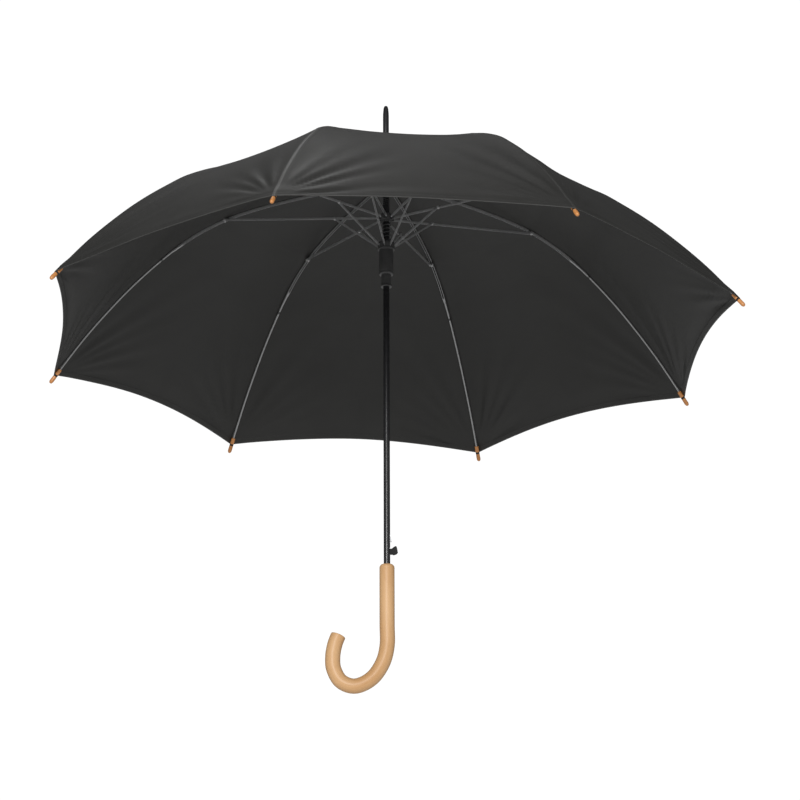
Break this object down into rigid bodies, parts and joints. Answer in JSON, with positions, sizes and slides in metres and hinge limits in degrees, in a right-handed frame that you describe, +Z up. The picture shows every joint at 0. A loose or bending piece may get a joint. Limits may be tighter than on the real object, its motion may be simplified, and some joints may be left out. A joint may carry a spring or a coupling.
{
  "type": "stick umbrella",
  "caption": "Open stick umbrella: domed black canopy on steel ribs with wooden tips, steel shaft, wooden crook handle and a push-button automatic opening frame.",
  "frame": {"origin": "on the shaft's axis at the middle of the handle's grip, where the hand closes on it", "axes": "+Z up the shaft towards the ferrule, -X towards the open end of the crook, +X towards the release button"},
  "size_m": [0.9868, 0.9868, 0.8844],
  "materials": {
    "black_steel": "gloss black paint over a steel tube",
    "rib_steel": "dark grey satin coating, worn bright along the edges",
    "spring_steel": "oiled spring wire, dull grey",
    "button_metal": "black enamel, chipped at the edges",
    "black_plastic": "moulded black nylon",
    "black_gloss_plastic": "polished black plastic",
    "pale_wood": "pale beech, satin lacquer, grain along the handle",
    "tip_wood": "orange-brown turned wood, lacquered",
    "canopy_cloth": "black pongee, fine plain weave, slight sheen"
  },
  "bodies": {
    "shaft": {"shaft": "black_steel", "ferrule": "black_gloss_plastic", "canopy_cap": "black_gloss_plastic", "handle": "pale_wood", "crown": "black_plastic", "buffer_spring": "spring_steel"},
    "rib_1": {"rib_1": "rib_steel", "canopy_gore_1": "canopy_cloth"},
    "rib_2": {"rib_2": "rib_steel", "canopy_gore_2": "canopy_cloth"},
    "rib_3": {"rib_3": "rib_steel", "canopy_gore_3": "canopy_cloth"},
    "rib_4": {"rib_4": "rib_steel", "canopy_gore_4": "canopy_cloth"},
    "rib_5": {"rib_5": "rib_steel", "canopy_gore_5": "canopy_cloth"},
    "rib_6": {"rib_6": "rib_steel", "canopy_gore_6": "canopy_cloth"},
    "rib_7": {"rib_7": "rib_steel", "canopy_gore_7": "canopy_cloth"},
    "rib_8": {"rib_8": "rib_steel", "canopy_gore_8": "canopy_cloth"},
    "rod_1": {"rib_rod_1": "rib_steel", "wooden_tip_1": "tip_wood"},
    "rod_2": {"rib_rod_2": "rib_steel", "wooden_tip_2": "tip_wood"},
    "rod_3": {"rib_rod_3": "rib_steel", "wooden_tip_3": "tip_wood"},
    "rod_4": {"rib_rod_4": "rib_steel", "wooden_tip_4": "tip_wood"},
    "rod_5": {"rib_rod_5": "rib_steel", "wooden_tip_5": "tip_wood"},
    "rod_6": {"rib_rod_6": "rib_steel", "wooden_tip_6": "tip_wood"},
    "rod_7": {"rib_rod_7": "rib_steel", "wooden_tip_7": "tip_wood"},
    "rod_8": {"rib_rod_8": "rib_steel", "wooden_tip_8": "tip_wood"},
    "stretcher_1": {"stretcher_1": "rib_steel"},
    "stretcher_2": {"stretcher_2": "rib_steel"},
    "stretcher_3": {"stretcher_3": "rib_steel"},
    "stretcher_4": {"stretcher_4": "rib_steel"},
    "stretcher_5": {"stretcher_5": "rib_steel"},
    "stretcher_6": {"stretcher_6": "rib_steel"},
    "stretcher_7": {"stretcher_7": "rib_steel"},
    "stretcher_8": {"stretcher_8": "rib_steel"},
    "link_1": {"link_1": "rib_steel"},
    "link_2": {"link_2": "rib_steel"},
    "link_3": {"link_3": "rib_steel"},
    "link_4": {"link_4": "rib_steel"},
    "link_5": {"link_5": "rib_steel"},
    "link_6": {"link_6": "rib_steel"},
    "link_7": {"link_7": "rib_steel"},
    "link_8": {"link_8": "rib_steel"},
    "upper_runner": {"upper_runner": "black_plastic"},
    "lower_runner": {"lower_runner": "black_plastic", "main_spring": "spring_steel"},
    "release_button": {"release_button": "button_metal", "runner_catch": "spring_steel"}
  },
  "joints": [
    {"name": "rib_1_fold", "type": "hinge", "parent": "shaft", "child": "rib_1", "pos_m": [0.0096, -0.00281, 0.643], "axis": [0.2815, 0.9596, 0], "range_deg": [0, 75.33], "stiffness_Nm_per_rad": 1.2, "springref_deg": -143.24, "deforming": ["canopy_gore_1"]},
    {"name": "rib_2_fold", "type": "hinge", "parent": "shaft", "child": "rib_2", "pos_m": [0.00878, 0.00479, 0.643], "axis": [-0.4795, 0.8776, 0], "range_deg": [0, 75.33], "deforming": ["canopy_gore_2"]},
    {"name": "rib_3_fold", "type": "hinge", "parent": "shaft", "child": "rib_3", "pos_m": [0.00281, 0.0096, 0.643], "axis": [-0.9596, 0.2815, 0], "range_deg": [0, 75.33], "deforming": ["canopy_gore_3"]},
    {"name": "rib_4_fold", "type": "hinge", "parent": "shaft", "child": "rib_4", "pos_m": [-0.00479, 0.00878, 0.643], "axis": [-0.8776, -0.4795, 0], "range_deg": [0, 75.33], "deforming": ["canopy_gore_4"]},
    {"name": "rib_5_fold", "type": "hinge", "parent": "shaft", "child": "rib_5", "pos_m": [-0.0096, 0.00281, 0.643], "axis": [-0.2815, -0.9596, 0], "range_deg": [0, 75.33], "deforming": ["canopy_gore_5"]},
    {"name": "rib_6_fold", "type": "hinge", "parent": "shaft", "child": "rib_6", "pos_m": [-0.00878, -0.00479, 0.643], "axis": [0.4795, -0.8776, 0], "range_deg": [0, 75.33], "deforming": ["canopy_gore_6"]},
    {"name": "rib_7_fold", "type": "hinge", "parent": "shaft", "child": "rib_7", "pos_m": [-0.00281, -0.0096, 0.643], "axis": [0.9596, -0.2815, 0], "range_deg": [0, 75.33], "deforming": ["canopy_gore_7"]},
    {"name": "rib_8_fold", "type": "hinge", "parent": "shaft", "child": "rib_8", "pos_m": [0.00479, -0.00878, 0.643], "axis": [0.8776, 0.4795, 0], "range_deg": [0, 75.33], "deforming": ["canopy_gore_8"]},
    {"name": "stretcher_1_pivot", "type": "hinge", "parent": "rib_1", "child": "stretcher_1", "pos_m": [0.23644, -0.06936, 0.6155], "axis": [0.2815, 0.9596, 0], "range_deg": [-150.66, 0]},
    {"name": "stretcher_2_pivot", "type": "hinge", "parent": "rib_2", "child": "stretcher_2", "pos_m": [0.21624, 0.11814, 0.6155], "axis": [-0.4795, 0.8776, 0], "range_deg": [-150.66, 0]},
    {"name": "stretcher_3_pivot", "type": "hinge", "parent": "rib_3", "child": "stretcher_3", "pos_m": [0.06936, 0.23644, 0.6155], "axis": [-0.9596, 0.2815, 0], "range_deg": [-150.66, 0]},
    {"name": "stretcher_4_pivot", "type": "hinge", "parent": "rib_4", "child": "stretcher_4", "pos_m": [-0.11814, 0.21624, 0.6155], "axis": [-0.8776, -0.4795, 0], "range_deg": [-150.66, 0]},
    {"name": "stretcher_5_pivot", "type": "hinge", "parent": "rib_5", "child": "stretcher_5", "pos_m": [-0.23644, 0.06936, 0.6155], "axis": [-0.2815, -0.9596, 0], "range_deg": [-150.66, 0]},
    {"name": "stretcher_6_pivot", "type": "hinge", "parent": "rib_6", "child": "stretcher_6", "pos_m": [-0.21624, -0.11814, 0.6155], "axis": [0.4795, -0.8776, 0], "range_deg": [-150.66, 0]},
    {"name": "stretcher_7_pivot", "type": "hinge", "parent": "rib_7", "child": "stretcher_7", "pos_m": [-0.06936, -0.23644, 0.6155], "axis": [0.9596, -0.2815, 0], "range_deg": [-150.66, 0]},
    {"name": "stretcher_8_pivot", "type": "hinge", "parent": "rib_8", "child": "stretcher_8", "pos_m": [0.11814, -0.21624, 0.6155], "axis": [0.8776, 0.4795, 0], "range_deg": [-150.66, 0]},
    {"name": "link_1_pivot", "type": "hinge", "parent": "stretcher_1", "child": "link_1", "pos_m": [0.07403, -0.02172, 0.59581], "axis": [0.2815, 0.9596, 0], "range_deg": [0, 30.11]},
    {"name": "link_2_pivot", "type": "hinge", "parent": "stretcher_2", "child": "link_2", "pos_m": [0.0677, 0.03699, 0.59581], "axis": [-0.4795, 0.8776, 0], "range_deg": [0, 30.11]},
    {"name": "link_3_pivot", "type": "hinge", "parent": "stretcher_3", "child": "link_3", "pos_m": [0.02172, 0.07403, 0.59581], "axis": [-0.9596, 0.2815, 0], "range_deg": [0, 30.11]},
    {"name": "link_4_pivot", "type": "hinge", "parent": "stretcher_4", "child": "link_4", "pos_m": [-0.03699, 0.0677, 0.59581], "axis": [-0.8776, -0.4795, 0], "range_deg": [0, 30.11]},
    {"name": "link_5_pivot", "type": "hinge", "parent": "stretcher_5", "child": "link_5", "pos_m": [-0.07403, 0.02172, 0.59581], "axis": [-0.2815, -0.9596, 0], "range_deg": [0, 30.11]},
    {"name": "link_6_pivot", "type": "hinge", "parent": "stretcher_6", "child": "link_6", "pos_m": [-0.0677, -0.03699, 0.59581], "axis": [0.4795, -0.8776, 0], "range_deg": [0, 30.11]},
    {"name": "link_7_pivot", "type": "hinge", "parent": "stretcher_7", "child": "link_7", "pos_m": [-0.02172, -0.07403, 0.59581], "axis": [0.9596, -0.2815, 0], "range_deg": [0, 30.11]},
    {"name": "link_8_pivot", "type": "hinge", "parent": "stretcher_8", "child": "link_8", "pos_m": [0.03699, -0.0677, 0.59581], "axis": [0.8776, 0.4795, 0], "range_deg": [0, 30.11]},
    {"name": "rod_1_flex", "type": "hinge", "parent": "rib_1", "child": "rod_1", "pos_m": [0.31186, -0.09149, 0.5773], "axis": [0.2815, 0.9596, 0], "range_deg": [-28.31, 0]},
    {"name": "rod_2_flex", "type": "hinge", "parent": "rib_2", "child": "rod_2", "pos_m": [0.28521, 0.15582, 0.5773], "axis": [-0.4795, 0.8776, 0], "range_deg": [-28.31, 0]},
    {"name": "rod_3_flex", "type": "hinge", "parent": "rib_3", "child": "rod_3", "pos_m": [0.09149, 0.31186, 0.5773], "axis": [-0.9596, 0.2815, 0], "range_deg": [-28.31, 0]},
    {"name": "rod_4_flex", "type": "hinge", "parent": "rib_4", "child": "rod_4", "pos_m": [-0.15582, 0.28521, 0.5773], "axis": [-0.8776, -0.4795, 0], "range_deg": [-28.31, 0]},
    {"name": "rod_5_flex", "type": "hinge", "parent": "rib_5", "child": "rod_5", "pos_m": [-0.31186, 0.09149, 0.5773], "axis": [-0.2815, -0.9596, 0], "range_deg": [-28.31, 0]},
    {"name": "rod_6_flex", "type": "hinge", "parent": "rib_6", "child": "rod_6", "pos_m": [-0.28521, -0.15582, 0.5773], "axis": [0.4795, -0.8776, 0], "range_deg": [-28.31, 0]},
    {"name": "rod_7_flex", "type": "hinge", "parent": "rib_7", "child": "rod_7", "pos_m": [-0.09149, -0.31186, 0.5773], "axis": [0.9596, -0.2815, 0], "range_deg": [-28.31, 0]},
    {"name": "rod_8_flex", "type": "hinge", "parent": "rib_8", "child": "rod_8", "pos_m": [0.15582, -0.28521, 0.5773], "axis": [0.8776, 0.4795, 0], "range_deg": [-28.31, 0]},
    {"name": "upper_runner_travel", "type": "hinge", "parent": "stretcher_1", "child": "upper_runner", "pos_m": [0.0096, -0.00281, 0.588], "axis": [0.2815, 0.9596, 0], "range_deg": [0, 75.33]},
    {"name": "lower_runner_slide", "type": "slide", "parent": "upper_runner", "child": "lower_runner", "axis": [0, 0, 1], "range_m": [0, 0.02723], "deforming": ["main_spring"]},
    {"name": "release_button_press", "type": "slide", "parent": "shaft", "child": "release_button", "axis": [-1, 0, 0], "range_m": [0, 0.0028], "stiffness_N_per_m": 1500, "springref_m": -0.002}
  ],
  "couplings": [
    {"joint": "rib_2_fold", "follows": "rib_1_fold", "ratio": 1},
    {"joint": "rib_3_fold", "follows": "rib_1_fold", "ratio": 1},
    {"joint": "rib_4_fold", "follows": "rib_1_fold", "ratio": 1},
    {"joint": "rib_5_fold", "follows": "rib_1_fold", "ratio": 1},
    {"joint": "rib_6_fold", "follows": "rib_1_fold", "ratio": 1},
    {"joint": "rib_7_fold", "follows": "rib_1_fold", "ratio": 1},
    {"joint": "rib_8_fold", "follows": "rib_1_fold", "ratio": 1},
    {"joint": "stretcher_1_pivot", "follows": "rib_1_fold", "ratio": -2},
    {"joint": "stretcher_2_pivot", "follows": "rib_1_fold", "ratio": -2},
    {"joint": "stretcher_3_pivot", "follows": "rib_1_fold", "ratio": -2},
    {"joint": "stretcher_4_pivot", "follows": "rib_1_fold", "ratio": -2},
    {"joint": "stretcher_5_pivot", "follows": "rib_1_fold", "ratio": -2},
    {"joint": "stretcher_6_pivot", "follows": "rib_1_fold", "ratio": -2},
    {"joint": "stretcher_7_pivot", "follows": "rib_1_fold", "ratio": -2},
    {"joint": "stretcher_8_pivot", "follows": "rib_1_fold", "ratio": -2},
    {"joint": "link_1_pivot", "follows": "rib_1_fold", "ratio": 0.39965},
    {"joint": "link_2_pivot", "follows": "rib_1_fold", "ratio": 0.39965},
    {"joint": "link_3_pivot", "follows": "rib_1_fold", "ratio": 0.39965},
    {"joint": "link_4_pivot", "follows": "rib_1_fold", "ratio": 0.39965},
    {"joint": "link_5_pivot", "follows": "rib_1_fold", "ratio": 0.39965},
    {"joint": "link_6_pivot", "follows": "rib_1_fold", "ratio": 0.39965},
    {"joint": "link_7_pivot", "follows": "rib_1_fold", "ratio": 0.39965},
    {"joint": "link_8_pivot", "follows": "rib_1_fold", "ratio": 0.39965},
    {"joint": "rod_1_flex", "follows": "rib_1_fold", "ratio": -0.37577},
    {"joint": "rod_2_flex", "follows": "rib_1_fold", "ratio": -0.37577},
    {"joint": "rod_3_flex", "follows": "rib_1_fold", "ratio": -0.37577},
    {"joint": "rod_4_flex", "follows": "rib_1_fold", "ratio": -0.37577},
    {"joint": "rod_5_flex", "follows": "rib_1_fold", "ratio": -0.37577},
    {"joint": "rod_6_flex", "follows": "rib_1_fold", "ratio": -0.37577},
    {"joint": "rod_7_flex", "follows": "rib_1_fold", "ratio": -0.37577},
    {"joint": "rod_8_flex", "follows": "rib_1_fold", "ratio": -0.37577},
    {"joint": "upper_runner_travel", "follows": "rib_1_fold", "ratio": 1},
    {"joint": "lower_runner_slide", "follows": "rib_1_fold", "m_per_rad": 0.020706}
  ]
}
